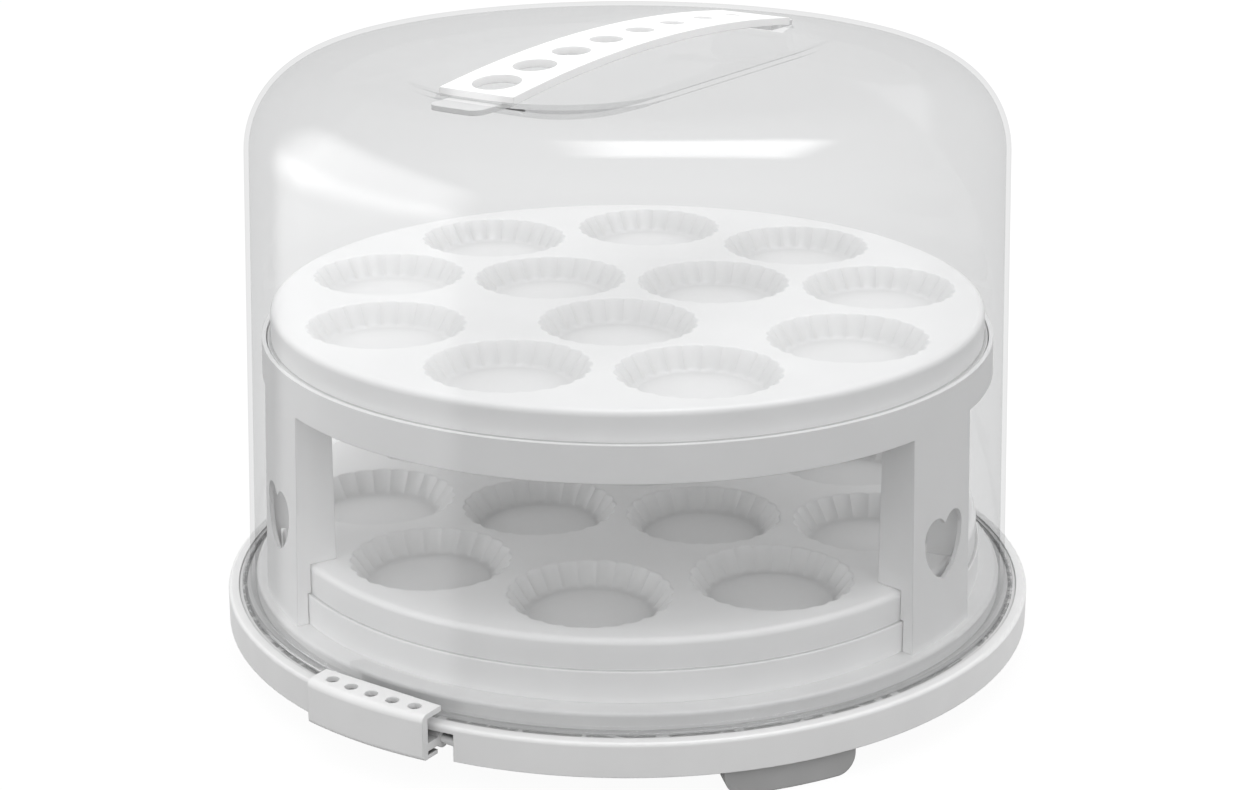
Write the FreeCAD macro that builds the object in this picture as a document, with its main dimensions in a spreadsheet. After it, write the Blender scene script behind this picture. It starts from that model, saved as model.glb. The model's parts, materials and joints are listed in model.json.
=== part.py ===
import FreeCAD, Part
import math
import os
import types

import Sketcher

# A two-tier cake dome. A round dish on four pads carries a muffin tray, a three-legged stand
# straddles that tray and holds a second one, and a clear dome with a strap handle closes over
# both. Two hinged clips on the dish's rim hold the dome's foot down. The origin is on the floor
# under the dish's centre, Z is up, and the clips and the handle lie along X.

LENGTHS = {
    # dish
    "dish_radius": 172.5,
    "dish_wall": 2.2,
    "floor_gap": 11.5,
    "rim_height": 14.0,
    "rim_round": 1.5,
    "bead_flat": 2.9,
    "bead_rise": 0.6,
    "ledge_width": 12.1,
    "plateau_rise": 6.6,
    "plateau_round": 1.6,
    # pads under the dish
    "pad_length": 53.0,
    "pad_depth": 10.6,
    "pad_rim_gap": 0.8,
    "pad_corner": 8.0,
    # hinge bars and clips on the rim
    "bar_radius": 2.0,
    "bar_drop": 7.4,
    "bar_seat": 2.0,
    "bar_clearance": 0.05,
    "notch_room": 6.0,
    "clip_length": 56.4,
    "clip_side_gap": 7.0,
    "clip_standoff": 8.0,
    "clip_wall": 3.2,
    "clip_skirt": 18.6,
    "clip_plate": 2.2,
    "clip_round": 3.0,
    "clip_lip": 5.6,
    "clip_lip_wall": 1.6,
    "clip_lip_round": 2.0,
    "clip_flange_gap": 2.0,
    "clip_edge_gap": 0.3,
    "clip_hole_radius": 2.6,
    "clip_hole_pitch": 10.1,
    "knuckle_wall": 1.7,
    "knuckle_arm": 3.4,
    "knuckle_mouth": 3.2,
    # trays
    "tray_inset": 10.4,
    "tray_height": 25.3,
    "tray_wall": 2.0,
    "tray_edge_round": 2.8,
    "tray_step": 1.6,
    "tray_band": 12.9,
    "cavity_margin": 11.1,
    "cavity_web": 10.74,
    "inner_web": 7.7,
    "cavity_taper": 6.4,
    "cavity_depth": 9.0,
    "cavity_floor": 1.8,
    "cavity_wall": 3.0,
    "flute_radius": 6.2,
    # stand
    "tray_gap": 0.4,
    "ring_wall": 1.8,
    "ring_height": 14.8,
    "lip_thickness": 1.7,
    "lip_width": 6.0,
    "tier_pitch": 90.7,
    "leg_width": 45.0,
    "flange_depth": 15.4,
    "flange_wall": 1.8,
    "flange_gap": 0.4,
    "heart_width": 29.4,
    "heart_height": 26.7,
    "heart_overlap": 1.2,
    "heart_rise": 25.5,
    # dome
    "dome_wall": 2.0,
    "dome_gap": 0.6,
    "dome_height": 225.8,
    "dome_shoulder": 37.0,
    "dome_flange_width": 3.6,
    "dome_flange_height": 2.8,
    "well_margin": 13.7,
    "well_width": 116.0,
    "well_end_flat": 17.0,
    "well_depth": 12.0,
    # handle
    "handle_end_gap": 5.0,
    "handle_width": 35.0,
    "handle_thickness": 3.2,
    "handle_rise": 7.0,
    "handle_lift": 0.9,
    "tongue_reach": 15.5,
    "tongue_root": 6.0,
    "tongue_width": 24.0,
    "tongue_thickness": 2.0,
    "tongue_corner": 5.0,
    "tongue_gap": 0.4,
    "slot_gap": 0.4,
    "handle_hole_first": 13.1,
    "handle_hole_last": 19.3,
    "handle_hole_large": 9.6,
    "handle_hole_small": 3.4,
    # how far a cut runs past the wall that it goes through
    "overrun": 5.0,
}

ANGLES = {
    "pad_angle": 55.6,
    "stand_draft_angle": 1.7,
    "dome_draft_angle": 1.63,
    "leg_angle": 27.7,
    "lower_tray_angle": 26.2,
    "upper_tray_angle": -31.3,
    "well_draft_angle": 66.0,
    "full_angle": 360.0,
    "half_angle": 180.0,
}

COUNTS = {
    "clip_count": 2,
    "clip_hole_count": 5,
    "outer_cavity_count": 9,
    "inner_cavity_count": 3,
    "flute_count": 24,
    "leg_count": 3,
    "handle_hole_count": 8,
}


class Size:
    """A number together with the formula that gives it from the sheet."""

    def __init__(self, value, formula):
        self.value = value
        self.formula = formula

    def __add__(self, other):
        other = as_size(other)
        return Size(self.value + other.value, "(%s + %s)" % (self.formula, other.formula))

    def __sub__(self, other):
        other = as_size(other)
        return Size(self.value - other.value, "(%s - %s)" % (self.formula, other.formula))

    def __mul__(self, other):
        other = as_size(other)
        return Size(self.value * other.value, "(%s * %s)" % (self.formula, other.formula))

    def __truediv__(self, other):
        other = as_size(other)
        return Size(self.value / other.value, "(%s / %s)" % (self.formula, other.formula))

    def __neg__(self):
        return Size(-self.value, "(-1 * %s)" % self.formula)


def as_size(number):
    return number if isinstance(number, Size) else Size(float(number), repr(number))


def sine(angle):
    return Size(math.sin(math.radians(angle.value)), "sin(%s)" % angle.formula)


def cosine(angle):
    return Size(math.cos(math.radians(angle.value)), "cos(%s)" % angle.formula)


def tangent(angle):
    return Size(math.tan(math.radians(angle.value)), "tan(%s)" % angle.formula)


def arc_angle(sine_value):
    return Size(math.degrees(math.asin(sine_value.value)), "asin(%s)" % sine_value.formula)


def slope_angle(ratio):
    return Size(math.degrees(math.atan(ratio.value)), "atan(%s)" % ratio.formula)


def root(square):
    return Size(math.sqrt(square.value), "sqrt(%s)" % square.formula)


ZERO = as_size(0)

doc = FreeCAD.newDocument("CakeDome")
sheet = doc.addObject("Spreadsheet::Sheet", "Sizes")
s = types.SimpleNamespace()
for row, (alias, number) in enumerate({**LENGTHS, **ANGLES, **COUNTS}.items(), start=1):
    sheet.set("A%d" % row, alias)
    sheet.set("B%d" % row, str(number))
    sheet.setAlias("B%d" % row, alias)
    setattr(s, alias, Size(number, "Sizes." + alias))
doc.recompute()

# Heights above the floor, radii and lengths that several sub-parts share
rim_bottom = s.floor_gap
rim_top = rim_bottom + s.rim_height
ledge_top = rim_top - s.bead_rise
ledge_under = ledge_top - s.dish_wall
plateau_top = ledge_top + s.plateau_rise
lower_tray_top = plateau_top + s.tray_height
upper_tray_bottom = plateau_top + s.tier_pitch
ring_bottom = upper_tray_bottom - s.lip_thickness
ring_top = ring_bottom + s.ring_height
plateau_radius = s.dish_radius - s.ledge_width
inner_rim = s.dish_radius - s.dish_wall
tray_radius = plateau_radius - s.tray_inset
tray_band_radius = tray_radius + s.tray_step
ring_inner_radius = tray_band_radius + s.tray_gap
ring_radius = ring_inner_radius + s.ring_wall
dome_inner_radius = plateau_radius + s.dome_gap
dome_radius = dome_inner_radius + s.dome_wall
dome_flange_radius = dome_radius + s.dome_flange_width
dome_flange_top = ledge_top + s.dome_flange_height
dome_top = ledge_top + s.dome_height
skin_under = dome_top - s.dome_wall
shoulder_z = dome_top - s.dome_shoulder
dome_turn_z = shoulder_z + s.dome_shoulder * sine(s.dome_draft_angle)
dome_turn_x = dome_radius - (dome_turn_z - dome_flange_top) * tangent(s.dome_draft_angle)
flat_top_radius = dome_turn_x - s.dome_shoulder * cosine(s.dome_draft_angle)
well_length = (flat_top_radius - s.well_margin) * 2
notch_width = s.clip_length + s.clip_side_gap * 2
# the hinge bar's ends run into the rim's wall beside the notch
bar_x = root(inner_rim * inner_rim - notch_width * notch_width / 4) - s.bar_radius / 2
bar_z = rim_top - s.bar_drop

# The cavities touch neither each other nor the tray's edge: equal webs lie between them
outer_pitch = s.half_angle / s.outer_cavity_count
cavity_reach = tray_radius - s.cavity_margin + s.cavity_web / 2
outer_ring_radius = cavity_reach / (sine(outer_pitch) + 1)
cavity_radius = outer_ring_radius * sine(outer_pitch) - s.cavity_web / 2
cavity_floor_radius = cavity_radius - s.cavity_taper
inner_ring_radius = (cavity_radius + s.inner_web / 2) / sine(s.half_angle / s.inner_cavity_count)


def vector(point):
    return FreeCAD.Vector(point[0].value, point[1].value, 0)


def new_body(label):
    body = doc.addObject("PartDesign::Body", label)
    body.Label = label
    return body


def origin_feature(body, role):
    return next(item for item in body.Origin.OriginFeatures if item.Role == role)


def new_sketch(body, name, role, lift=None, turn=None, shift=None):
    """An empty sketch on one of the body's planes, lifted off it, turned about its upright or shifted."""
    sketch = body.newObject("Sketcher::SketchObject", name)
    sketch.AttachmentSupport = (origin_feature(body, role), [""])
    sketch.MapMode = "FlatFace"
    if lift is not None:
        sketch.setExpression("AttachmentOffset.Base.z", lift.formula)
    if turn is not None:
        upright = FreeCAD.Rotation(FreeCAD.Vector(0, 1, 0), turn.value)
        sketch.AttachmentOffset = FreeCAD.Placement(FreeCAD.Vector(), upright)
        sketch.setExpression("AttachmentOffset.Rotation.Angle", turn.formula)
    if shift is not None:
        sketch.setExpression("AttachmentOffset.Base.x", shift[0].formula)
        sketch.setExpression("AttachmentOffset.Base.y", shift[1].formula)
    return sketch


def pin(sketch, element, end, point):
    """Ties a point to its bound distances from the sketch's axes."""
    for kind, size in (("DistanceX", point[0]), ("DistanceY", point[1])):
        number = sketch.addConstraint(Sketcher.Constraint(kind, -1, 1, element, end, size.value))
        sketch.setExpression("Constraints[%d]" % number, size.formula)


def bind_radius(sketch, element, radius):
    number = sketch.addConstraint(Sketcher.Constraint("Radius", element, radius.value))
    sketch.setExpression("Constraints[%d]" % number, radius.formula)


def arc_between(start, finish, radius, turn):
    """The shorter arc from start to finish; turn is 1 for one that bends to the left, else -1."""
    chord = finish - start
    middle = (start + finish) * 0.5
    left = FreeCAD.Vector(-chord.y, chord.x, 0).normalize()
    reach = math.sqrt(max(radius ** 2 - (chord.Length / 2) ** 2, 0))
    centre = middle + left * (reach * turn)
    first, last = (start, finish) if turn > 0 else (finish, start)
    angles = [math.atan2(end.y - centre.y, end.x - centre.x) for end in (first, last)]
    circle = Part.Circle(centre, FreeCAD.Vector(0, 0, 1), radius)
    return Part.ArcOfCircle(circle, angles[0], angles[1])


def draw_outline(sketch, points, arcs=None):
    """A closed outline; arcs maps a point's place to the radius and turn of the arc after it."""
    arcs = arcs or {}
    ends = []
    base = sketch.GeometryCount
    for place, point in enumerate(points):
        start = vector(point)
        finish = vector(points[(place + 1) % len(points)])
        if place in arcs:
            radius, turn = arcs[place]
            sketch.addGeometry(arc_between(start, finish, radius.value, turn))
            ends.append((1, 2) if turn > 0 else (2, 1))
        else:
            sketch.addGeometry(Part.LineSegment(start, finish))
            ends.append((1, 2))
    for place, point in enumerate(points):
        after = (place + 1) % len(points)
        joint = Sketcher.Constraint(
            "Coincident", base + place, ends[place][1], base + after, ends[after][0])
        sketch.addConstraint(joint)
        pin(sketch, base + place, ends[place][0], point)
        if place in arcs:
            bind_radius(sketch, base + place, arcs[place][0])


def draw_circle(sketch, centre, radius):
    upright = FreeCAD.Vector(0, 0, 1)
    element = sketch.addGeometry(Part.Circle(vector(centre), upright, radius.value))
    pin(sketch, element, 3, centre)
    bind_radius(sketch, element, radius)


def revolve(body, name, sketch, angle=None):
    """Turns a sketch about the upright axis, fully or evenly to both sides by an angle."""
    feature = body.newObject("PartDesign::Revolution", name)
    feature.Profile = (sketch, [""])
    feature.ReferenceAxis = (sketch, ["V_Axis"])
    feature.Midplane = angle is not None
    feature.setExpression("Angle", (angle or s.full_angle).formula)
    return feature


def extrude(body, kind, name, sketch, length, symmetric=False, reverse=False, taper=None):
    """A Pad or a Pocket of a bound length."""
    feature = body.newObject("PartDesign::" + kind, name)
    feature.Profile = (sketch, [""])
    feature.SideType = "Symmetric" if symmetric else "One side"
    feature.Reversed = reverse
    feature.setExpression("Length", length.formula)
    if taper is not None:
        feature.setExpression("TaperAngle", taper.formula)
    return feature


def polar_pattern(body, name, features, count):
    pattern = body.newObject("PartDesign::PolarPattern", name)
    pattern.Originals = features
    pattern.Axis = (origin_feature(body, "Z_Axis"), [""])
    pattern.setExpression("Angle", s.full_angle.formula)
    pattern.setExpression("Occurrences", count.formula)
    body.Tip = pattern
    return pattern


def round_edges(body, name, radius, chosen):
    """A fillet on those edges of the body's newest feature that the chosen test accepts."""
    doc.recompute()
    newest = body.Tip
    edges = newest.Shape.Edges
    names = ["Edge%d" % number for number, edge in enumerate(edges, start=1) if chosen(edge)]
    feature = body.newObject("PartDesign::Fillet", name)
    feature.Base = (newest, names)
    feature.setExpression("Radius", radius.formula)
    return feature


def turn_to(body, angle):
    """Places a body that is drawn on the X axis at its own angle round the upright axis."""
    body.Placement = FreeCAD.Placement(
        FreeCAD.Vector(), FreeCAD.Rotation(FreeCAD.Vector(0, 0, 1), angle.value))
    body.setExpression("Placement.Rotation.Angle", angle.formula)


def make_dish():
    """A thin round dish: raised plateau, dome ledge, downturned rim with two notches and bars."""
    body = new_body("base_dish")
    profile = new_sketch(body, "DishProfile", "XZ_Plane")
    inner_step = plateau_radius - s.dish_wall
    bead_radius = s.dish_radius - s.rim_round - s.bead_flat
    plateau_under = plateau_top - s.dish_wall
    points = [
        (ZERO, plateau_under),
        (inner_step, plateau_under),
        (inner_step, ledge_under),
        (inner_rim, ledge_under),
        (inner_rim, rim_bottom),
        (s.dish_radius, rim_bottom),
        (s.dish_radius, rim_top - s.rim_round),
        (s.dish_radius - s.rim_round, rim_top),
        (bead_radius, rim_top),
        (bead_radius, ledge_top),
        (plateau_radius, ledge_top),
        (plateau_radius, plateau_top - s.plateau_round),
        (plateau_radius - s.plateau_round, plateau_top),
        (ZERO, plateau_top),
    ]
    draw_outline(profile, points, {6: (s.rim_round, 1), 11: (s.plateau_round, 1)})
    revolve(body, "DishShell", profile)

    notch = new_sketch(body, "NotchPlan", "XY_Plane", lift=rim_bottom)
    half = notch_width / 2
    notch_inner = bar_x - s.notch_room
    notch_outer = s.dish_radius + s.overrun
    corners = [(notch_inner, -half), (notch_outer, -half), (notch_outer, half), (notch_inner, half)]
    draw_outline(notch, corners)
    cut = extrude(body, "Pocket", "Notch", notch, ledge_under - rim_bottom, reverse=True)
    polar_pattern(body, "Notches", [cut], s.clip_count)

    bar = new_sketch(body, "BarSection", "XZ_Plane")
    draw_circle(bar, (bar_x, bar_z), s.bar_radius)
    rod = extrude(body, "Pad", "HingeBar", bar, notch_width + s.bar_seat * 2, symmetric=True)
    polar_pattern(body, "HingeBars", [rod], s.clip_count)
    return body


def make_pad(label, angle):
    """A grip pad under the ledge, curved with the rim, its lower corners well rounded."""
    body = new_body(label)
    profile = new_sketch(body, "PadProfile", "XZ_Plane")
    outer = inner_rim - s.pad_rim_gap
    inner = outer - s.pad_depth
    draw_outline(profile, [(inner, ZERO), (outer, ZERO), (outer, ledge_under), (inner, ledge_under)])
    middle = outer - s.pad_depth / 2
    half = arc_angle(s.pad_length / 2 / middle)
    revolve(body, "PadBlock", profile, half * 2)

    def lower_end(edge):
        low = edge.BoundBox.ZMax < rim_bottom.value / 2
        return low and edge.Curve.TypeId == "Part::GeomLine"

    round_edges(body, "PadCorners", s.pad_corner, lower_end)
    turn_to(body, angle)
    return body


def make_clip(label, angle):
    """A rim clip: curved skirt between a holed top plate and a low lip, and a split knuckle."""
    body = new_body(label)
    half = s.clip_length / 2
    plate_bottom = dome_flange_top + s.clip_flange_gap
    plate_top = plate_bottom + s.clip_plate
    skirt_bottom = plate_top - s.clip_skirt
    clip_radius = s.dish_radius + s.clip_standoff
    skirt_radius = clip_radius - s.clip_wall

    def end_x(radius):
        return root(radius * radius - half * half)

    def plan_from(inner_edge):
        """An outline from a straight inner edge to the clip's round outer face."""
        outer_edge = end_x(clip_radius)
        return [(inner_edge, -half), (outer_edge, -half), (outer_edge, half), (inner_edge, half)]

    plan = new_sketch(body, "SkirtPlan", "XY_Plane", lift=skirt_bottom)
    draw_outline(plan, plan_from(end_x(skirt_radius)), {1: (clip_radius, 1), 3: (skirt_radius, -1)})
    extrude(body, "Pad", "Skirt", plan, plate_top - skirt_bottom)

    top = new_sketch(body, "PlatePlan", "XY_Plane", lift=plate_bottom)
    plate_edge = dome_flange_radius + s.clip_edge_gap
    draw_outline(top, plan_from(plate_edge), {1: (clip_radius, 1)})
    extrude(body, "Pad", "TopPlate", top, s.clip_plate)

    low = new_sketch(body, "LipPlan", "XY_Plane", lift=skirt_bottom)
    draw_outline(low, plan_from(end_x(skirt_radius) - s.clip_lip), {1: (clip_radius, 1)})
    extrude(body, "Pad", "Lip", low, s.clip_lip_wall)

    def outer_edge_near(height):
        """Accepts the round edge of the outer face that lies at the given height."""
        def chosen(edge):
            middle = edge.BoundBox.Center
            level = edge.BoundBox.ZLength < s.clip_plate.value / 2
            near = abs(middle.z - height.value) < s.clip_plate.value / 2
            return near and level and edge.BoundBox.XMax > skirt_radius.value + s.clip_wall.value / 2
        return chosen

    round_edges(body, "TopEdge", s.clip_round, outer_edge_near(plate_top))
    round_edges(body, "LowEdge", s.clip_lip_round, outer_edge_near(skirt_bottom))

    bore = s.bar_radius + s.bar_clearance
    ring = bore + s.knuckle_wall
    arm_half = s.knuckle_arm / 2
    section = new_sketch(body, "KnuckleSection", "XZ_Plane")
    draw_circle(section, (bar_x, bar_z), ring)
    extrude(body, "Pad", "Knuckle", section, s.clip_length, symmetric=True)

    arm = new_sketch(body, "ArmSection", "XZ_Plane")
    arm_end = end_x(skirt_radius) + s.clip_wall / 2
    draw_outline(arm, [
        (bar_x, bar_z - arm_half),
        (arm_end, bar_z - arm_half),
        (arm_end, bar_z + arm_half),
        (bar_x, bar_z + arm_half),
    ])
    extrude(body, "Pad", "Arm", arm, s.clip_length, symmetric=True)

    hole = new_sketch(body, "BoreSection", "XZ_Plane")
    draw_circle(hole, (bar_x, bar_z), bore)
    extrude(body, "Pocket", "Bore", hole, s.clip_length + s.overrun, symmetric=True)

    mouth = new_sketch(body, "MouthSection", "XZ_Plane")
    mouth_half = s.knuckle_mouth / 2
    draw_outline(mouth, [
        (bar_x - ring - s.overrun, bar_z - mouth_half),
        (bar_x, bar_z - mouth_half),
        (bar_x, bar_z + mouth_half),
        (bar_x - ring - s.overrun, bar_z + mouth_half),
    ])
    extrude(body, "Pocket", "Mouth", mouth, s.clip_length + s.overrun, symmetric=True)

    holes = new_sketch(body, "HolePlan", "XY_Plane", lift=plate_top)
    row_radius = (plate_edge + clip_radius) / 2
    pitch = slope_angle(s.clip_hole_pitch / row_radius)
    for number in range(COUNTS["clip_hole_count"]):
        place = pitch * (as_size(number) - (s.clip_hole_count - 1) / 2)
        centre = (row_radius * cosine(place), row_radius * sine(place))
        draw_circle(holes, centre, s.clip_hole_radius)
    extrude(body, "Pocket", "Holes", holes, s.clip_plate)
    turn_to(body, angle)
    return body


def fluted_outline(sketch, ridge_radius, flute_radius):
    """A ring of round flutes about the sketch's origin."""
    pitch = s.full_angle / s.flute_count
    points = []
    for number in range(COUNTS["flute_count"]):
        place = pitch * number
        points.append((ridge_radius * cosine(place), ridge_radius * sine(place)))
    draw_outline(sketch, points, {number: (flute_radius, 1) for number in range(len(points))})


def add_cups(body, centre, count, tray_top):
    """The cups that hang under the deck, one drawn and the rest patterned round the tray."""
    slope = s.cavity_taper / s.cavity_depth
    seat = tray_top - s.tray_wall
    seat_radius = cavity_radius + s.cavity_wall - slope * s.tray_wall
    plan = new_sketch(body, "CupPlan", "XY_Plane", lift=seat, shift=centre)
    draw_circle(plan, (ZERO, ZERO), seat_radius)
    height = s.cavity_depth + s.cavity_floor - s.tray_wall
    taper = -slope_angle(slope)
    cup = extrude(body, "Pad", "Cup", plan, height, reverse=True, taper=taper)
    polar_pattern(body, "Cups", [cup], count)


def cut_cavities(body, centre, count, tray_top):
    """The fluted, tapered cavities, one lofted and the rest patterned round the tray."""
    mouth = new_sketch(body, "CavityMouth", "XY_Plane", lift=tray_top, shift=centre)
    fluted_outline(mouth, cavity_radius, s.flute_radius)
    floor_z = tray_top - s.cavity_depth
    floor = new_sketch(body, "CavityFloor", "XY_Plane", lift=floor_z, shift=centre)
    floor_flute = s.flute_radius * cavity_floor_radius / cavity_radius
    fluted_outline(floor, cavity_floor_radius, floor_flute)
    cavity = body.newObject("PartDesign::SubtractiveLoft", "Cavity")
    cavity.Profile = (mouth, [""])
    cavity.Sections = [(floor, [""])]
    cavity.Ruled = True
    polar_pattern(body, "Cavities", [cavity], count)


def make_tray(label, bottom, angle):
    """A muffin tray: deck with fluted cavities, stepped skirt below, hollow underneath."""
    body = new_body(label)
    top = bottom + s.tray_height
    step = bottom + s.tray_band
    profile = new_sketch(body, "TrayProfile", "XZ_Plane")
    points = [
        (ZERO, top - s.tray_wall),
        (tray_radius - s.tray_wall, top - s.tray_wall),
        (tray_radius - s.tray_wall, step - s.tray_wall),
        (tray_band_radius - s.tray_wall, step - s.tray_wall),
        (tray_band_radius - s.tray_wall, bottom),
        (tray_band_radius, bottom),
        (tray_band_radius, step),
        (tray_radius, step),
        (tray_radius, top - s.tray_edge_round),
        (tray_radius - s.tray_edge_round, top),
        (ZERO, top),
    ]
    draw_outline(profile, points, {8: (s.tray_edge_round, 1)})
    revolve(body, "TrayShell", profile)
    # the outer cavities stand half a pitch off the inner ones
    outer_centre = (outer_ring_radius * cosine(outer_pitch), outer_ring_radius * sine(outer_pitch))
    inner_centre = (inner_ring_radius, ZERO)
    rings = ((outer_centre, s.outer_cavity_count), (inner_centre, s.inner_cavity_count))
    for centre, count in rings:
        add_cups(body, centre, count, top)
    for centre, count in rings:
        cut_cavities(body, centre, count, top)
    turn_to(body, angle)
    return body


def make_stand():
    """The tier stand: a ring with an inner lip on three drafted channel legs with heart cut-outs."""
    body = new_body("tier_stand")
    draft = tangent(s.stand_draft_angle)

    def outer_at(height):
        return ring_radius + (ring_top - height) * draft

    profile = new_sketch(body, "RingProfile", "XZ_Plane")
    draw_outline(profile, [
        (tray_band_radius - s.lip_width, ring_bottom),
        (outer_at(ring_bottom), ring_bottom),
        (ring_radius, ring_top),
        (ring_inner_radius, ring_top),
        (ring_inner_radius, upper_tray_bottom),
        (tray_band_radius - s.lip_width, upper_tray_bottom),
    ])
    revolve(body, "Ring", profile)

    wall = new_sketch(body, "LegProfile", "XZ_Plane")
    draw_outline(wall, [
        (outer_at(plateau_top) - s.ring_wall, plateau_top),
        (outer_at(plateau_top), plateau_top),
        (outer_at(ring_bottom), ring_bottom),
        (outer_at(ring_bottom) - s.ring_wall, ring_bottom),
    ])
    half_leg = arc_angle(s.leg_width / 2 / outer_at(plateau_top))
    leg = revolve(body, "LegWall", wall, half_leg * 2)

    step = plateau_top + s.tray_band
    flange_bottom = lower_tray_top + s.flange_gap
    inner = outer_at(ring_bottom) - s.flange_depth
    side_gap = tray_band_radius + s.flange_gap
    upper_gap = tray_radius + s.flange_gap
    outer_low = outer_at(plateau_top) - s.ring_wall / 2
    outer_high = outer_at(ring_bottom) - s.ring_wall / 2
    flanges = []
    for name, turn, reverse in (("Left", half_leg, False), ("Right", -half_leg, True)):
        outline = new_sketch(body, name + "FlangeProfile", "XZ_Plane", turn=turn)
        draw_outline(outline, [
            (inner, flange_bottom),
            (upper_gap, flange_bottom),
            (upper_gap, step + s.flange_gap),
            (side_gap, step + s.flange_gap),
            (side_gap, plateau_top),
            (outer_low, plateau_top),
            (outer_high, ring_bottom),
            (inner, ring_bottom),
        ])
        flange = extrude(body, "Pad", name + "Flange", outline, s.flange_wall, reverse=reverse)
        flanges.append(flange)

    heart = new_sketch(body, "HeartOutline", "YZ_Plane")
    half = s.heart_width / 2
    lobe = (half + s.heart_overlap) / 2
    tip = plateau_top + s.heart_rise
    lobe_z = tip + s.heart_height - lobe
    lobe_y = half - lobe
    cleft = lobe_z + root(lobe * lobe - lobe_y * lobe_y)
    side = (half * half + (lobe_z - tip) * (lobe_z - tip)) / s.heart_width
    points = [(ZERO, tip), (half, lobe_z), (ZERO, cleft), (-half, lobe_z)]
    bends = {0: (side, 1), 1: (lobe, 1), 2: (lobe, 1), 3: (side, 1)}
    draw_outline(heart, points, bends)
    reach = outer_at(plateau_top) + s.overrun
    cut = extrude(body, "Pocket", "Heart", heart, reach, reverse=True)
    polar_pattern(body, "Legs", [leg, *flanges, cut], s.leg_count)
    turn_to(body, s.leg_angle)
    return body


def make_dome():
    """The clear dome: drafted wall, round shoulder, foot flange, and a finger scoop with two slots."""
    body = new_body("dome")
    draft = s.dome_draft_angle
    inner_shoulder = s.dome_shoulder - s.dome_wall
    inner_z = shoulder_z + inner_shoulder * sine(draft)
    inner_x = flat_top_radius + inner_shoulder * cosine(draft)
    foot_inner = inner_x + (inner_z - ledge_top) * tangent(draft)
    profile = new_sketch(body, "DomeProfile", "XZ_Plane")
    points = [
        (foot_inner, ledge_top),
        (dome_flange_radius, ledge_top),
        (dome_flange_radius, dome_flange_top),
        (dome_radius, dome_flange_top),
        (dome_turn_x, dome_turn_z),
        (flat_top_radius, dome_top),
        (ZERO, dome_top),
        (ZERO, skin_under),
        (flat_top_radius, skin_under),
        (inner_x, inner_z),
    ]
    draw_outline(profile, points, {4: (s.dome_shoulder, 1), 8: (inner_shoulder, -1)})
    revolve(body, "DomeShell", profile)

    def well_outline(sketch, grow):
        half_x = well_length / 2 + grow
        half_y = s.well_width / 2 + grow
        corner = half_y - s.well_end_flat / 2
        edge_x = half_x - corner
        edge_y = half_y - corner
        corners = [
            (edge_x, -half_y), (half_x, -edge_y), (half_x, edge_y), (edge_x, half_y),
            (-edge_x, half_y), (-half_x, edge_y), (-half_x, -edge_y), (-edge_x, -half_y),
        ]
        draw_outline(sketch, corners, {place: (corner, 1) for place in (0, 2, 4, 6)})

    # grown and lowered so that the sloping wall is as thick as the rest of the dome
    slope = s.well_draft_angle
    grow = s.dome_wall * (as_size(1) - sine(slope)) / cosine(slope)
    outside = new_sketch(body, "WellOutside", "XY_Plane", lift=skin_under)
    well_outline(outside, grow)
    taper = -slope
    extrude(body, "Pad", "WellBlock", outside, s.well_depth, reverse=True, taper=taper)
    inside = new_sketch(body, "WellInside", "XY_Plane", lift=dome_top)
    well_outline(inside, ZERO)
    extrude(body, "Pocket", "Well", inside, s.well_depth, taper=taper)

    slot = new_sketch(body, "SlotSection", "YZ_Plane")
    half = s.handle_width / 2 + s.slot_gap
    slot_low = skin_under - s.tongue_gap - s.tongue_thickness - s.slot_gap
    draw_outline(slot, [(-half, slot_low), (half, slot_low), (half, skin_under), (-half, skin_under)])
    extrude(body, "Pocket", "Slots", slot, well_length + s.overrun * 2, symmetric=True)
    return body


def make_handle():
    """The arched strap: round holes that shrink along it, and a tongue at each end for a slot."""
    body = new_body("handle")
    half = well_length / 2 - s.handle_end_gap
    end_top = dome_top + s.handle_lift
    end_low = end_top - s.handle_thickness
    tongue_top = skin_under - s.tongue_gap
    tongue_low = tongue_top - s.tongue_thickness
    tip = half + s.tongue_reach
    heel = half - s.tongue_root
    bend = (half * half + s.handle_rise * s.handle_rise) / (s.handle_rise * 2)
    profile = new_sketch(body, "StrapProfile", "XZ_Plane")
    points = [(half, end_top), (-half, end_top), (-half, end_low), (half, end_low)]
    draw_outline(profile, points, {0: (bend, 1), 2: (bend, -1)})
    extrude(body, "Pad", "Strap", profile, s.handle_width, symmetric=True)

    tongues = new_sketch(body, "TongueProfile", "XZ_Plane")
    root_top = end_top - s.handle_thickness / 2
    for inner, edge, outer in ((heel, half, tip), (-heel, -half, -tip)):
        draw_outline(tongues, [
            (inner, tongue_low),
            (outer, tongue_low),
            (outer, tongue_top),
            (edge, tongue_top),
            (edge, root_top),
            (inner, root_top),
        ])
    extrude(body, "Pad", "Tongues", tongues, s.tongue_width, symmetric=True)

    def tongue_corner(edge):
        box = edge.BoundBox
        upright = box.XLength + box.YLength < box.ZLength
        return upright and abs(box.Center.x) > half.value + s.tongue_reach.value / 2

    round_edges(body, "TongueCorners", s.tongue_corner, tongue_corner)

    holes = new_sketch(body, "HolePlan", "XY_Plane", lift=tongue_low)
    steps = s.handle_hole_count - 1
    shrink = (s.handle_hole_large - s.handle_hole_small) / steps
    pitch = (half * 2 - s.handle_hole_first - s.handle_hole_last) / steps
    for number in range(COUNTS["handle_hole_count"]):
        place = s.handle_hole_first + pitch * number - half
        draw_circle(holes, (place, ZERO), s.handle_hole_large - shrink * number)
    rise = end_top + s.handle_rise - tongue_low + s.overrun
    extrude(body, "Pocket", "Holes", holes, rise, reverse=True)
    return body


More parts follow.
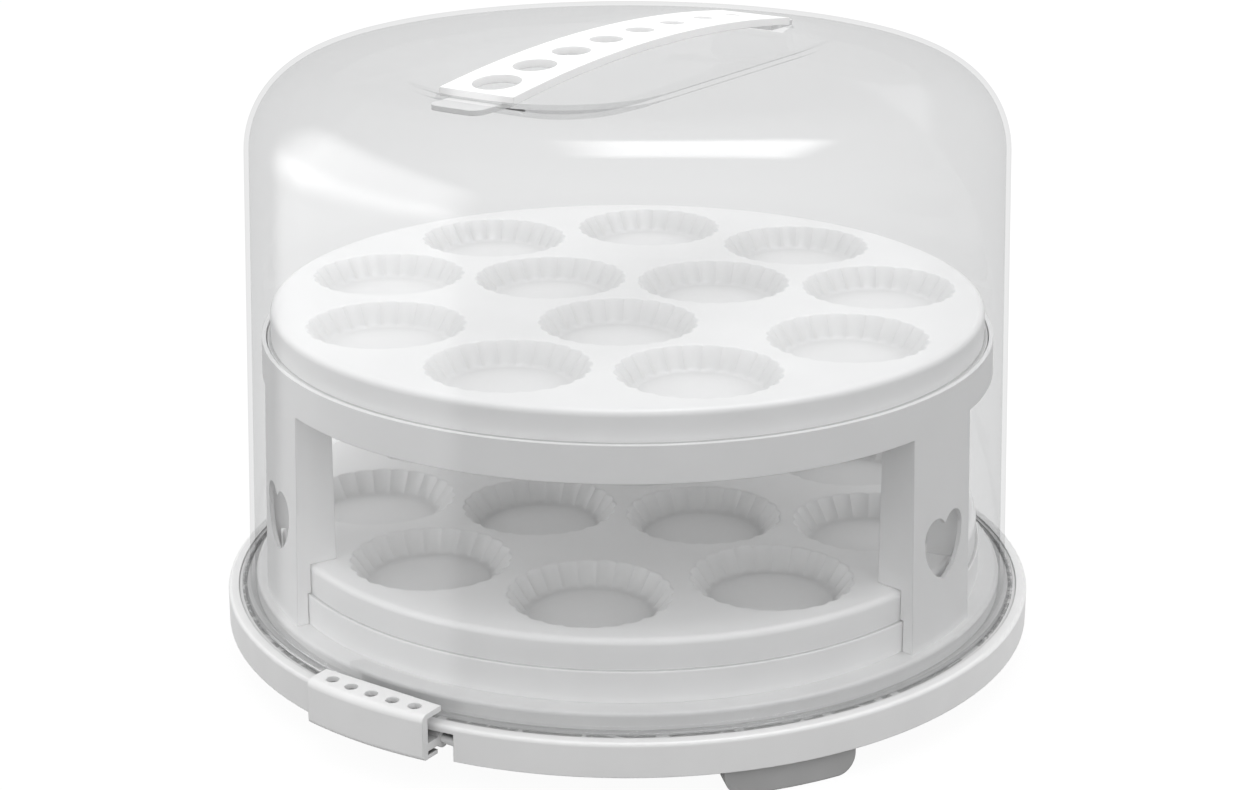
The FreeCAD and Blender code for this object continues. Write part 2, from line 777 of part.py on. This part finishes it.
def make_parts():
    parts = [make_dish()]
    for end, middle in (("left", s.half_angle), ("right", ZERO)):
        for side, turn in (("front", -s.pad_angle), ("rear", s.pad_angle)):
            station = middle - turn if end == "left" else middle + turn
            parts.append(make_pad("pad_%s_%s" % (side, end), station))
    parts.append(make_clip("clip_left", s.half_angle))
    parts.append(make_clip("clip_right", ZERO))
    parts.append(make_tray("lower_tray", plateau_top, s.lower_tray_angle))
    parts.append(make_stand())
    parts.append(make_tray("upper_tray", upper_tray_bottom, s.upper_tray_angle))
    parts.append(make_dome())
    parts.append(make_handle())
    return parts


def check_and_write(parts):
    """Stops on any failed object or bad shape, then writes one file for each sub-part."""
    doc.recompute()
    for item in doc.Objects:
        if "Invalid" in item.State or "Error" in item.State:
            raise RuntimeError("%s failed: %s" % (item.Label, item.State))
    for part in parts:
        if part.Shape.isNull() or not part.Shape.isValid() or len(part.Shape.Solids) != 1:
            raise RuntimeError("%s has a bad shape" % part.Label)
    os.makedirs("parts", exist_ok=True)
    for part in parts:
        part.Shape.exportStep("parts/%s.step" % part.Label)
        print(part.Label, "%.0f mm3" % part.Shape.Volume, part.Shape.BoundBox)


check_and_write(make_parts())
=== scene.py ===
import json
import math

import bmesh
import bpy
from mathutils import Matrix, Vector


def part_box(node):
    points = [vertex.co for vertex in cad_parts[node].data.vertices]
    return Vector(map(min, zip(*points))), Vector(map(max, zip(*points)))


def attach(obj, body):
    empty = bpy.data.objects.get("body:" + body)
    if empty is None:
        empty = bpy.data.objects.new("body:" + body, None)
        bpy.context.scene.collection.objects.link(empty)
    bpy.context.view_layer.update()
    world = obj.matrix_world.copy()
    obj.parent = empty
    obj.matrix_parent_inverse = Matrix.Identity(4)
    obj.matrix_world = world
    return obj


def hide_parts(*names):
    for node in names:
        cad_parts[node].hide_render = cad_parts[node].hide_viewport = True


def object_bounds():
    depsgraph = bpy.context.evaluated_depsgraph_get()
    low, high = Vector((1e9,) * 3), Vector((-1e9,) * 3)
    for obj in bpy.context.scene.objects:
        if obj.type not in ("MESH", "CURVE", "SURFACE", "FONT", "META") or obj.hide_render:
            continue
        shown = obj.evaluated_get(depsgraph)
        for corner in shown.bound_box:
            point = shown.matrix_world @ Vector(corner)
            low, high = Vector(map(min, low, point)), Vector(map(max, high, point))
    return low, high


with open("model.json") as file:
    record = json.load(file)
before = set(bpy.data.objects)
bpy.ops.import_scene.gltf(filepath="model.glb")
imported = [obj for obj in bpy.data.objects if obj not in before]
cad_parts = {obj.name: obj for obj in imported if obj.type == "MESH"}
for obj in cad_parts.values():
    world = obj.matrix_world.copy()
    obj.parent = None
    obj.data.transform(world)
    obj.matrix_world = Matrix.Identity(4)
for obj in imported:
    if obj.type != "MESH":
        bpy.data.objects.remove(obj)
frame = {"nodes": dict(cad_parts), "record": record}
cad_low, cad_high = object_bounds()

# The looks of a two-tier cake dome: a white dish with clips and pads, two muffin trays, a legged
# stand, a clear dome and its strap handle. Lengths are in metres, in the frame of the solids.

# photograph
IMAGE_WIDTH = 1255
FOCAL_PIXELS = 2375.4
HORIZON_SHIFT_PIXELS = 112.9
CAMERA_AZIMUTH = math.radians(-56.0)
CAMERA_PITCH = math.radians(16.42)
CAMERA_REACH = 0.9636
CAMERA_HEIGHT = 0.4360
SENSOR_WIDTH = 36.0

# trays
TRAY_WALL = 0.0018
TRAY_STEP = 0.0016
TRAY_BAND = 0.0129
TRAY_EDGE_ROUND = 0.0028
TRAY_BAND_ROUND = 0.0006
TRAY_SEGMENTS = 288
CAVITY_RIDGE = 0.0314
CAVITY_FLOOR_RIDGE = 0.0250
CAVITY_DEPTH = 0.0090
CAVITY_MOUTH_ROUND = 0.0010
CAVITY_FLOOR_ROUND = 0.0026
CAVITY_COLLAR = 0.0346
FLUTE_RADIUS = 0.0062
FLUTE_COUNT = 24
FLUTE_STEPS = 8
ROUND_STEPS = 5

# dome
DOME_WALL = 0.0020
DOME_DRAFT = math.radians(1.63)
DOME_SHOULDER = 0.0370
DOME_FLANGE_WIDTH = 0.0036
DOME_FLANGE_HEIGHT = 0.0028
DOME_FLANGE_ROUND = 0.0006
DOME_SEGMENTS = 256
SHOULDER_STEPS = 20
WELL_LENGTH = 0.2140
WELL_WIDTH = 0.1160
WELL_CORNER = 0.0495
WELL_DEPTH = 0.0120
WELL_BANK = 0.0470
WELL_RIM_BLEND = 0.0030
WELL_STEPS = 24
WELL_CORNER_STEPS = 20
SLOT_HALF_WIDTH = 0.0179
SLOT_TOP = 0.0020
SLOT_BOTTOM = 0.0048

# meshes
SUPPORT_GAP = 0.0001
SMOOTH_ANGLE = math.radians(32.0)

# finishes
NOISE_LOW = 0.3
NOISE_HIGH = 0.7
CLOUD_SCALE = 45.0
SHEEN_SCALE = 140.0
GRAIN_DETAIL = 3.0
GRAIN_STRENGTH = 0.25
EDGE_SAMPLES = 4
# painted shade: ambient occlusion darkens the moulded colour in recesses that face up
PAINTED_SHADE_REACH = 0.040
PAINTED_SHADE_STRENGTH = 0.95
PAINTED_SHADE_SAMPLES = 8
CLEAR_TINT = (0.940, 0.941, 0.942, 1.0)
CLEAR_EDGE_TINT = (0.880, 0.881, 0.882, 1.0)
CLEAR_EDGE_BLEND = 0.25
CLEAR_WAVE_SCALE = 25.0
CLEAR_ROUGHNESS = (0.03, 0.07)
CLEAR_IOR = 1.5
MOST_GLOSS = 0.085

# stage
FLOOR_RADIUS = 9.0
FLOOR_SEGMENTS = 96
FLOOR_BOUNCE = 0.15
FLOOR_SHADE = 0.06
FLOOR_GLOW = 0.95
WORLD_FILL = 1.15
WORLD_MIRRORED = 0.85
WORLD_SEEN = 1.0


def circle_points(radius, height, count):
    """Points around the upright axis of the object."""
    turn = math.tau / count
    return [Vector((radius * math.cos(n * turn), radius * math.sin(n * turn), height)) for n in range(count)]


def add_ring(bm, points):
    return [bm.verts.new(point) for point in points]


def bridge(bm, first, second):
    """Quads between two closed rings of as many points."""
    count = len(first)
    return [
        bm.faces.new((first[n], first[(n + 1) % count], second[(n + 1) % count], second[n]))
        for n in range(count)
    ]


def bridge_all(bm, rings):
    for first, second in zip(rings, rings[1:]):
        bridge(bm, first, second)


def cap(bm, ring, point):
    """A fan from a closed ring to one point."""
    middle = bm.verts.new(point)
    for n, vert in enumerate(ring):
        bm.faces.new((vert, ring[(n + 1) % len(ring)], middle))


def ring_edges(bm, ring):
    """The edges along a closed ring, new ones where it has none."""
    pairs = zip(ring, ring[1:] + ring[:1])
    return [bm.edges.get(pair) or bm.edges.new(pair) for pair in pairs]


def fill_flat(bm, outline, holes=()):
    """Flat faces inside an outline and outside its holes."""
    edges = ring_edges(bm, outline)
    for hole in holes:
        edges += ring_edges(bm, hole)
    bmesh.ops.triangle_fill(bm, use_beauty=True, use_dissolve=False, edges=edges, normal=(0, 0, 1))


def face_up(bm):
    """Turns every face of one skin to the side on which its highest face looks up."""
    bmesh.ops.recalc_face_normals(bm, faces=bm.faces)
    highest = max(bm.faces, key=lambda face: face.calc_center_median().z)
    highest.normal_update()
    if highest.normal.z < 0:
        bmesh.ops.reverse_faces(bm, faces=bm.faces)


def smooth(mesh):
    mesh.shade_smooth()
    mesh.set_sharp_from_angle(angle=SMOOTH_ANGLE)


def skin_to_piece(bm, name, thickness):
    """A named object from a skin, thickened to its inner side."""
    face_up(bm)
    skin = bpy.data.meshes.new(name + "_skin")
    bm.to_mesh(skin)
    bm.free()
    piece = bpy.data.objects.new(name, skin)
    bpy.context.scene.collection.objects.link(piece)
    wall = piece.modifiers.new("Wall", "SOLIDIFY")
    wall.thickness = thickness
    wall.offset = -1.0
    wall.use_even_offset = True
    shown = piece.evaluated_get(bpy.context.evaluated_depsgraph_get())
    mesh = bpy.data.meshes.new_from_object(shown)
    piece.modifiers.clear()
    piece.data = mesh
    mesh.name = name
    bpy.data.meshes.remove(skin)
    smooth(mesh)
    return piece


def even_steps(start, finish, steps):
    """Values in even steps, both ends included."""
    return [start + (finish - start) * n / steps for n in range(steps + 1)]


def flute_bulge(angle, ridge):
    """How far the fluted wall stands outside its ridge circle at an angle."""
    half = math.pi / FLUTE_COUNT
    off = (angle + half) % (2 * half) - half
    # the ridges stand at whole pitches, so the middle of a flute is half a pitch away
    off = half - abs(off)
    scale = ridge / CAVITY_RIDGE
    flute = FLUTE_RADIUS * scale
    centre = ridge * math.cos(half) - math.sqrt(flute ** 2 - (ridge * math.sin(half)) ** 2)
    return centre * math.cos(off) + math.sqrt(flute ** 2 - (centre * math.sin(off)) ** 2) - ridge


def cavity_ring(bm, centre, ridge, inset, height, flute_share):
    """One ring of a cavity's wall: fluted in full, in part or not at all."""
    count = FLUTE_COUNT * FLUTE_STEPS
    points = []
    for n in range(count):
        angle = n * math.tau / count
        radius = ridge + flute_share * flute_bulge(angle, ridge) - inset
        points.append(centre + Vector((radius * math.cos(angle), radius * math.sin(angle), height)))
    return add_ring(bm, points)


def add_cavity(bm, centre, top):
    """The skin of one fluted cavity; returns its outermost ring, which lies in the deck."""
    slope = (CAVITY_RIDGE - CAVITY_FLOOR_RIDGE) / CAVITY_DEPTH
    lean = math.pi / 2 - math.atan(slope)

    def ridge_at(depth):
        return CAVITY_RIDGE - slope * depth

    rings = [cavity_ring(bm, centre, CAVITY_COLLAR, 0.0, top, 0.0)]
    mouth = CAVITY_MOUTH_ROUND
    reach = mouth * math.sin(lean) - slope * mouth * (1 - math.cos(lean))
    rings.append(cavity_ring(bm, centre, CAVITY_RIDGE, -reach - SUPPORT_GAP, top, 1.0))
    for angle in even_steps(0.0, lean, ROUND_STEPS):
        depth = mouth * (1 - math.cos(angle))
        inset = mouth * math.sin(angle) - reach
        rings.append(cavity_ring(bm, centre, CAVITY_RIDGE, inset, top - depth, 1.0))
    foot = CAVITY_FLOOR_ROUND
    turn_depth = CAVITY_DEPTH - foot * (1 - math.cos(lean))
    floor_radius = ridge_at(turn_depth) - foot * math.sin(lean)
    rings.append(cavity_ring(bm, centre, ridge_at(CAVITY_DEPTH / 2), 0.0, top - CAVITY_DEPTH / 2, 1.0))
    for step, angle in enumerate(even_steps(lean, 0.0, ROUND_STEPS)):
        depth = CAVITY_DEPTH - foot * (1 - math.cos(angle))
        radius = floor_radius + foot * math.sin(angle)
        rings.append(cavity_ring(bm, centre, radius, 0.0, top - depth, 1.0 - step / ROUND_STEPS))
    rings.append(cavity_ring(bm, centre, floor_radius - SUPPORT_GAP, 0.0, top - CAVITY_DEPTH, 0.0))
    bridge_all(bm, rings)
    cap(bm, rings[-1], centre + Vector((0.0, 0.0, top - CAVITY_DEPTH)))
    return rings[0]


def rounded_corner(radius_out, height, size, steps):
    """Points of a lathe profile that turn a top edge down: from flat on top to upright."""
    return [
        (radius_out - size + size * math.sin(angle), height - size + size * math.cos(angle))
        for angle in even_steps(0.0, math.pi / 2, steps)
    ]


def make_tray(node, prefix):
    """A muffin tray with soft-edged fluted cavities, in the place of its solid."""
    low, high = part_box(node)
    top, bottom = high.z, low.z
    band_radius = max(high.x, high.y, -low.x, -low.y)
    tray_radius = band_radius - TRAY_STEP
    step = bottom + TRAY_BAND
    bm = bmesh.new()
    openings = frame["record"]["physics"]["openings"]
    holes = []
    for opening in openings:
        if opening["name"].startswith(prefix):
            lowest, highest = opening["box_m"]
            centre = Vector(((lowest[0] + highest[0]) / 2, (lowest[1] + highest[1]) / 2, 0.0))
            holes.append(add_cavity(bm, centre, top))
    profile = [(tray_radius - TRAY_EDGE_ROUND - SUPPORT_GAP, top)]
    profile += rounded_corner(tray_radius, top, TRAY_EDGE_ROUND, ROUND_STEPS)
    profile += [(tray_radius, step + SUPPORT_GAP), (tray_radius, step)]
    profile += rounded_corner(band_radius, step, TRAY_BAND_ROUND, ROUND_STEPS)
    profile += [(band_radius, bottom)]
    rings = [add_ring(bm, circle_points(radius, height, TRAY_SEGMENTS)) for radius, height in profile]
    bridge_all(bm, rings)
    fill_flat(bm, rings[0], holes)
    tray = skin_to_piece(bm, node + "_moulding", TRAY_WALL)
    tray.data.materials.append(white_plastic)
    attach(tray, node)
    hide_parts(node)
    return tray


def well_points(inset, height):
    """The scoop's rounded rectangle, drawn in from its rim to all sides."""
    half_x = WELL_LENGTH / 2 - WELL_CORNER
    half_y = WELL_WIDTH / 2 - WELL_CORNER
    corner = WELL_CORNER - inset
    slot = math.asin((SLOT_HALF_WIDTH - half_y) / (WELL_CORNER - well_inset(SLOT_BOTTOM)))
    quarter = [0.0] + even_steps(slot, math.pi / 2 - slot, WELL_CORNER_STEPS) + [math.pi / 2]
    points = []
    for number, (side_x, side_y) in enumerate(((1, 1), (-1, 1), (-1, -1), (1, -1))):
        for angle in quarter:
            turn = angle + number * math.pi / 2
            points.append(Vector((
                side_x * half_x + corner * math.cos(turn),
                side_y * half_y + corner * math.sin(turn),
                height,
            )))
    return points


def well_depth(inset):
    """How deep the scoop's bowed bank lies at a distance in from its rim."""
    return WELL_DEPTH * (1 - (1 - inset / WELL_BANK) ** 2)


def well_inset(depth):
    """How far in from its rim the scoop's bank reaches a depth."""
    return WELL_BANK * (1 - math.sqrt(1 - depth / WELL_DEPTH))


def add_well(bm, top):
    """The finger scoop with a soft rim, bowed banks and a slot at each end; returns its outer ring."""
    blend = WELL_RIM_BLEND
    levels = []
    for reach in even_steps(-blend, blend, ROUND_STEPS):
        share = (reach + blend) / (2 * blend)
        levels.append((reach, well_depth(blend) * share ** 2))
    slot_place = len(levels)
    first, last = well_inset(SLOT_TOP), well_inset(SLOT_BOTTOM)
    levels += [(first, SLOT_TOP), (last, SLOT_BOTTOM)]
    levels += [(inset, well_depth(inset)) for inset in even_steps(last, WELL_BANK, WELL_STEPS)[1:]]
    rings = [add_ring(bm, well_points(inset, top - depth)) for inset, depth in levels]
    for place, (outer, inner) in enumerate(zip(rings, rings[1:])):
        faces = bridge(bm, outer, inner)
        if place == slot_place:
            inside = []
            for face in faces:
                middle = face.calc_center_median()
                if abs(middle.y) < SLOT_HALF_WIDTH and abs(middle.x) > WELL_LENGTH / 2 - WELL_CORNER:
                    inside.append(face)
            bmesh.ops.delete(bm, geom=inside, context="FACES_ONLY")
    fill_flat(bm, rings[-1])
    return rings[0]


def make_dome():
    """The clear dome with its foot flange, round shoulder and finger well, in place of its solid."""
    low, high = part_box("dome")
    foot, top = low.z, high.z
    flange_radius = max(high.x, high.y)
    radius = flange_radius - DOME_FLANGE_WIDTH
    flange_top = foot + DOME_FLANGE_HEIGHT
    shoulder_z = top - DOME_SHOULDER
    turn_z = shoulder_z + DOME_SHOULDER * math.sin(DOME_DRAFT)
    turn_radius = radius - (turn_z - flange_top) * math.tan(DOME_DRAFT)
    centre_radius = turn_radius - DOME_SHOULDER * math.cos(DOME_DRAFT)
    inner = DOME_FLANGE_ROUND
    profile = [(flange_radius, foot)]
    profile += reversed(rounded_corner(flange_radius, flange_top, DOME_FLANGE_ROUND, ROUND_STEPS))
    for angle in even_steps(0.0, math.pi / 2, ROUND_STEPS):
        corner = (radius + inner - inner * math.sin(angle), flange_top + inner - inner * math.cos(angle))
        profile.append(corner)
    for angle in even_steps(DOME_DRAFT, math.pi / 2, SHOULDER_STEPS):
        profile.append((
            centre_radius + DOME_SHOULDER * math.cos(angle),
            shoulder_z + DOME_SHOULDER * math.sin(angle),
        ))
    profile.append((centre_radius - SUPPORT_GAP, top))
    bm = bmesh.new()
    rings = [add_ring(bm, circle_points(reach, height, DOME_SEGMENTS)) for reach, height in profile]
    bridge_all(bm, rings)
    fill_flat(bm, rings[-1], [add_well(bm, top)])
    dome = skin_to_piece(bm, "dome_shell", DOME_WALL)
    dome.data.materials.append(clear_plastic)
    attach(dome, "dome")
    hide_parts("dome")
    return dome


def node_adder(tree):
    """A helper that adds a node with its settings to a tree."""
    def add(kind, **settings):
        node = tree.nodes.new(kind)
        for key, value in settings.items():
            setattr(node, key, value)
        return node

    return add


def empty_tree(owner):
    """The links of a material's or world's emptied node tree, and its helper that adds a node."""
    owner.use_nodes = True
    owner.node_tree.nodes.clear()
    return owner.node_tree.links, node_adder(owner.node_tree)


def grey(level):
    return (level, level, level, 1.0)


def noise_node(add, links, scale, detail=2.0):
    """Noise in the object's own metres."""
    place = add("ShaderNodeTexCoord")
    noise = add("ShaderNodeTexNoise")
    noise.inputs["Scale"].default_value = scale
    noise.inputs["Detail"].default_value = detail
    links.new(place.outputs["Object"], noise.inputs["Vector"])
    return noise


def spread(add, links, source, low, high):
    """The output of a node that maps noise to the range from low to high."""
    node = add("ShaderNodeMapRange")
    node.inputs["From Min"].default_value = NOISE_LOW
    node.inputs["From Max"].default_value = NOISE_HIGH
    node.inputs["To Min"].default_value = low
    node.inputs["To Max"].default_value = high
    links.new(source, node.inputs["Value"])
    return node.outputs["Result"]


def moulded(name, dark, light, roughness, grain_scale, grain_depth, edge):
    """Moulded plastic or rubber: faint clouding, painted shade in recesses, uneven gloss, fine grain, soft
    edges.
    """
    material = bpy.data.materials.new(name)
    links, add = empty_tree(material)
    shader = add("ShaderNodeBsdfPrincipled")
    output = add("ShaderNodeOutputMaterial")
    cloud = noise_node(add, links, CLOUD_SCALE)
    colours = add("ShaderNodeMix", data_type="RGBA")
    colours.inputs["A"].default_value = grey(dark)
    colours.inputs["B"].default_value = grey(light)
    links.new(spread(add, links, cloud.outputs["Fac"], 0.0, 1.0), colours.inputs["Factor"])
    # painted shade: ambient occlusion darkens the colour in recesses, most on faces that look up
    painted_hollow_shade = add("ShaderNodeAmbientOcclusion", samples=PAINTED_SHADE_SAMPLES, only_local=True)
    painted_hollow_shade.inputs["Distance"].default_value = PAINTED_SHADE_REACH
    shade_painted_colour = add("ShaderNodeMix", data_type="RGBA", blend_type="MULTIPLY")
    surface = add("ShaderNodeNewGeometry")
    axes = add("ShaderNodeSeparateXYZ")
    links.new(surface.outputs["Normal"], axes.inputs["Vector"])
    upward_shade_share = add("ShaderNodeMath", operation="MULTIPLY", use_clamp=True)
    upward_shade_share.inputs[1].default_value = PAINTED_SHADE_STRENGTH
    links.new(axes.outputs["Z"], upward_shade_share.inputs[0])
    links.new(upward_shade_share.outputs["Value"], shade_painted_colour.inputs["Factor"])
    links.new(colours.outputs["Result"], shade_painted_colour.inputs["A"])
    links.new(painted_hollow_shade.outputs["Color"], shade_painted_colour.inputs["B"])
    links.new(shade_painted_colour.outputs["Result"], shader.inputs["Base Color"])
    sheen = noise_node(add, links, SHEEN_SCALE)
    links.new(spread(add, links, sheen.outputs["Fac"], *roughness), shader.inputs["Roughness"])
    grain = noise_node(add, links, grain_scale, detail=GRAIN_DETAIL)
    bump = add("ShaderNodeBump")
    bump.inputs["Strength"].default_value = GRAIN_STRENGTH
    bump.inputs["Distance"].default_value = grain_depth
    links.new(grain.outputs["Fac"], bump.inputs["Height"])
    rounding = add("ShaderNodeBevel", samples=EDGE_SAMPLES)
    rounding.inputs["Radius"].default_value = edge
    links.new(rounding.outputs["Normal"], bump.inputs["Normal"])
    links.new(bump.outputs["Normal"], shader.inputs["Normal"])
    links.new(shader.outputs["BSDF"], output.inputs["Surface"])
    return material


def make_clear_plastic():
    """A clear wall that mirrors by its angle, up to a limit, and greys where it is seen edge-on."""
    material = bpy.data.materials.new("clear_plastic")
    links, add = empty_tree(material)
    output = add("ShaderNodeOutputMaterial")
    mixed = add("ShaderNodeMixShader")
    through = add("ShaderNodeBsdfTransparent")
    gloss = add("ShaderNodeBsdfGlossy")
    facing = add("ShaderNodeLayerWeight")
    facing.inputs["Blend"].default_value = CLEAR_EDGE_BLEND
    tint = add("ShaderNodeMix", data_type="RGBA")
    tint.inputs["A"].default_value = CLEAR_TINT
    tint.inputs["B"].default_value = CLEAR_EDGE_TINT
    links.new(facing.outputs["Facing"], tint.inputs["Factor"])
    links.new(tint.outputs["Result"], through.inputs["Color"])
    wave = noise_node(add, links, CLEAR_WAVE_SCALE)
    links.new(spread(add, links, wave.outputs["Fac"], *CLEAR_ROUGHNESS), gloss.inputs["Roughness"])
    mirror = add("ShaderNodeFresnel")
    mirror.inputs["IOR"].default_value = CLEAR_IOR
    side = add("ShaderNodeNewGeometry")
    front = add("ShaderNodeMath", operation="SUBTRACT")
    front.inputs[0].default_value = 1.0
    links.new(side.outputs["Backfacing"], front.inputs[1])
    capped = add("ShaderNodeMath", operation="MINIMUM")
    capped.inputs[1].default_value = MOST_GLOSS
    links.new(mirror.outputs["Fac"], capped.inputs[0])
    share = add("ShaderNodeMath", operation="MULTIPLY")
    links.new(capped.outputs["Value"], share.inputs[0])
    links.new(front.outputs["Value"], share.inputs[1])
    links.new(share.outputs["Value"], mixed.inputs["Fac"])
    links.new(through.outputs["BSDF"], mixed.inputs[1])
    links.new(gloss.outputs["BSDF"], mixed.inputs[2])
    links.new(mixed.outputs["Shader"], output.inputs["Surface"])
    return material


def make_floor():
    """A wide white floor that keeps a faint shadow."""
    bm = bmesh.new()
    bmesh.ops.create_circle(bm, cap_ends=True, radius=FLOOR_RADIUS, segments=FLOOR_SEGMENTS)
    mesh = bpy.data.meshes.new("floor")
    bm.to_mesh(mesh)
    bm.free()
    floor = bpy.data.objects.new("floor", mesh)
    bpy.context.scene.collection.objects.link(floor)
    floor.location.z = cad_low.z
    floor.visible_glossy = False
    material = bpy.data.materials.new("floor_white")
    links, add = empty_tree(material)
    output = add("ShaderNodeOutputMaterial")
    plain = add("ShaderNodeBsdfDiffuse")
    plain.inputs["Color"].default_value = grey(FLOOR_BOUNCE)
    shade = add("ShaderNodeBsdfDiffuse")
    shade.inputs["Color"].default_value = grey(FLOOR_SHADE)
    glow = add("ShaderNodeEmission")
    glow.inputs["Strength"].default_value = FLOOR_GLOW
    both = add("ShaderNodeAddShader")
    links.new(shade.outputs["BSDF"], both.inputs[0])
    links.new(glow.outputs["Emission"], both.inputs[1])
    chosen = add("ShaderNodeMixShader")
    path = add("ShaderNodeLightPath")
    links.new(path.outputs["Is Camera Ray"], chosen.inputs["Fac"])
    links.new(plain.outputs["BSDF"], chosen.inputs[1])
    links.new(both.outputs["Shader"], chosen.inputs[2])
    links.new(chosen.outputs["Shader"], output.inputs["Surface"])
    mesh.materials.append(material)


def make_world():
    """Even white light from all around, dimmer where it is mirrored."""
    world = bpy.data.worlds.new("studio")
    bpy.context.scene.world = world
    links, add = empty_tree(world)

    def backdrop(strength):
        node = add("ShaderNodeBackground")
        node.inputs["Color"].default_value = grey(1.0)
        node.inputs["Strength"].default_value = strength
        return node.outputs["Background"]

    output = add("ShaderNodeOutputWorld")
    path = add("ShaderNodeLightPath")
    mirrored = add("ShaderNodeMixShader")
    links.new(path.outputs["Is Glossy Ray"], mirrored.inputs["Fac"])
    links.new(backdrop(WORLD_FILL), mirrored.inputs[1])
    links.new(backdrop(WORLD_MIRRORED), mirrored.inputs[2])
    chosen = add("ShaderNodeMixShader")
    links.new(path.outputs["Is Camera Ray"], chosen.inputs["Fac"])
    links.new(mirrored.outputs["Shader"], chosen.inputs[1])
    links.new(backdrop(WORLD_SEEN), chosen.inputs[2])
    links.new(chosen.outputs["Shader"], output.inputs["Surface"])


def make_softbox(name, place, tilt, size, power, edge_share, mirrored, only=None):
    """A rectangular lamp, brightest in its middle, that either lights surfaces or shows in gloss.

    It looks down, tilted about the camera's right and about the line of sight, in degrees. Its
    place is given to the camera's right, away from the camera and up. It may serve one piece only."""
    lamp = bpy.data.lights.new(name, "AREA")
    lamp.shape = "RECTANGLE"
    lamp.size, lamp.size_y = size
    lamp.energy = power
    lamp.use_nodes = True
    links, add = lamp.node_tree.links, node_adder(lamp.node_tree)
    glow = next(node for node in lamp.node_tree.nodes if node.type == "EMISSION")
    spot = add("ShaderNodeNewGeometry")
    axes = add("ShaderNodeSeparateXYZ")
    links.new(spot.outputs["Parametric"], axes.inputs["Vector"])
    product = add("ShaderNodeMath", operation="MULTIPLY")
    for number, axis in enumerate(("X", "Y")):
        fade = add("ShaderNodeMapRange", interpolation_type="SMOOTHSTEP")
        fade.inputs["From Max"].default_value = edge_share
        # half of the lamp's width, so that the distance from either edge counts
        edge = add("ShaderNodeMath", operation="PINGPONG")
        edge.inputs[1].default_value = 0.5
        links.new(axes.outputs[axis], edge.inputs[0])
        links.new(edge.outputs["Value"], fade.inputs["Value"])
        links.new(fade.outputs["Result"], product.inputs[number])
    links.new(product.outputs["Value"], glow.inputs["Strength"])
    box = bpy.data.objects.new(name, lamp)
    bpy.context.scene.collection.objects.link(box)
    box.location = Matrix.Rotation(CAMERA_AZIMUTH, 3, "Z") @ Vector(place)
    box.rotation_euler = (math.radians(tilt[0]), math.radians(tilt[1]), CAMERA_AZIMUTH)
    box.visible_camera = False
    box.visible_transmission = False
    box.visible_diffuse = not mirrored
    box.visible_glossy = mirrored
    if only:
        receivers = bpy.data.collections.new(name + "_receivers")
        receivers.objects.link(only)
        box.light_linking.receiver_collection = receivers
    return box


def make_camera():
    """The photograph's camera, looking down at the object's axis, with its small shift."""
    data = bpy.data.cameras.new("camera")
    data.sensor_width = SENSOR_WIDTH
    data.lens = SENSOR_WIDTH * FOCAL_PIXELS / IMAGE_WIDTH
    data.shift_y = -HORIZON_SHIFT_PIXELS / IMAGE_WIDTH
    camera = bpy.data.objects.new("camera", data)
    bpy.context.scene.collection.objects.link(camera)
    out = Vector((math.sin(CAMERA_AZIMUTH), -math.cos(CAMERA_AZIMUTH), 0.0))
    camera.location = out * CAMERA_REACH + Vector((0.0, 0.0, CAMERA_HEIGHT))
    camera.rotation_euler = (math.pi / 2 - CAMERA_PITCH, 0.0, CAMERA_AZIMUTH)
    bpy.context.scene.camera = camera


def dress(node, material):
    """Gives a solid that is shown as it is its finish and smooth shading."""
    mesh = frame["nodes"][node].data
    mesh.materials.clear()
    mesh.materials.append(material)
    smooth(mesh)


bpy.context.scene.view_settings.view_transform = "Standard"

plastic = {"roughness": (0.34, 0.42), "grain_scale": 1600.0, "grain_depth": 0.00002, "edge": 0.0005}
rubber = {"roughness": (0.60, 0.75), "grain_scale": 900.0, "grain_depth": 0.00006, "edge": 0.0008}
# painted light: the trays, stand and handle take a lighter white than the dish, which brightens the shaded
# lower tier
white_plastic = moulded("white_plastic", dark=0.915, light=0.940, **plastic)
dish_plastic = moulded("dish_plastic", dark=0.795, light=0.825, **plastic)
grey_rubber = moulded("grey_rubber", dark=0.40, light=0.44, **rubber)
clear_plastic = make_clear_plastic()

make_camera()
make_world()
make_floor()

lower_tray = make_tray("lower_tray", "lower_cavity")
make_tray("upper_tray", "upper_cavity")
dome = make_dome()
for node in ("tier_stand", "handle"):
    dress(node, white_plastic)
for node in ("base_dish", "clip_left", "clip_right"):
    dress(node, dish_plastic)
for node in frame["nodes"]:
    if node.startswith("pad_"):
        dress(node, grey_rubber)

make_softbox(
    "top_softbox", place=(0.00, 0.00, 1.90), tilt=(0, 0), size=(2.00, 2.00),
    power=16.0, edge_share=0.25, mirrored=False,
)
# stands in for the light between the tiers in the photograph, so the upper tray doesn't shade it
low_fill = make_softbox(
    "low_fill", place=(0.00, 0.00, 1.70), tilt=(0, 0), size=(1.60, 1.60),
    power=16.0, edge_share=0.25, mirrored=False, only=lower_tray,
)
low_fill.light_linking.blocker_collection = low_fill.light_linking.receiver_collection
make_softbox(
    "top_glint", place=(0.335, -0.070, 1.43), tilt=(0, 0), size=(1.30, 0.66),
    power=17.0, edge_share=0.25, mirrored=True,
)
make_softbox(
    "left_glint", place=(-1.33, -0.30, 0.60), tilt=(0, -90), size=(1.40, 2.60),
    power=44.0, edge_share=0.30, mirrored=True, only=dome,
)
make_softbox(
    "left_sheen", place=(-1.36, -0.25, -0.35), tilt=(0, -90), size=(1.80, 2.30),
    power=22.0, edge_share=0.15, mirrored=True, only=dome,
)
